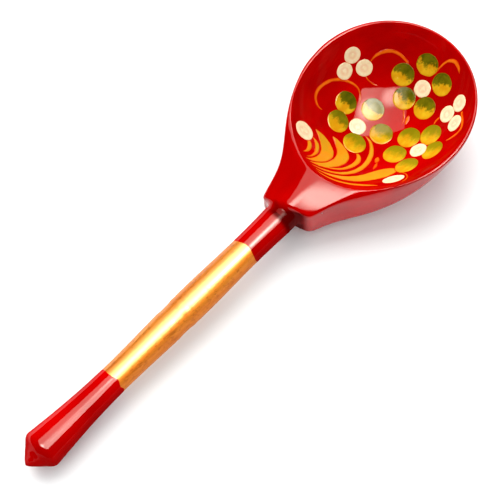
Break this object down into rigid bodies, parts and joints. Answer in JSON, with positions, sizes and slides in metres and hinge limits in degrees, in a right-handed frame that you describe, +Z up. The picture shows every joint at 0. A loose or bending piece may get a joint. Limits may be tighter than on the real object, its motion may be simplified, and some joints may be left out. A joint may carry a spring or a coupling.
{
  "type": "decorative wooden spoon",
  "caption": "Painted wooden spoon in the golden-grass style: egg-shaped bowl with berries and grass painted inside, square neck, turned handle with a gold band and a red pointed bulb.",
  "frame": {"origin": "on the table, under the middle of the spoon's box", "axes": "+X along the spoon towards the bowl's far end, +Z up out of the bowl, +Y to the spoon's left"},
  "size_m": [0.1982, 0.0604, 0.028],
  "materials": {
    "red_lacquer": "linden wood under glossy red lacquer",
    "bare_wood": "turned linden, seen nowhere: it lies under the coats",
    "glue": "dried wood glue",
    "gold_lacquer": "glossy varnish over a tin-gold ground",
    "cream_paint": "cream oil paint under clear varnish",
    "yellow_paint": "yellow oil paint under clear varnish",
    "green_paint": "olive green oil paint dabbed on, under clear varnish",
    "grass_paint": "golden yellow paint under clear varnish",
    "tendril_paint": "orange-gold paint under clear varnish"
  },
  "bodies": {
    "root": {"bowl_head": "red_lacquer", "handle": "bare_wood", "tenon_glue": "glue", "neck_red_coat": "red_lacquer", "gold_band_coat": "gold_lacquer", "tip_red_coat": "red_lacquer", "cream_berries": "cream_paint", "yellow_berries": "yellow_paint", "green_berry_dabs": "green_paint", "gold_grass": "grass_paint", "gold_tendrils": "tendril_paint"}
  },
  "joints": []
}
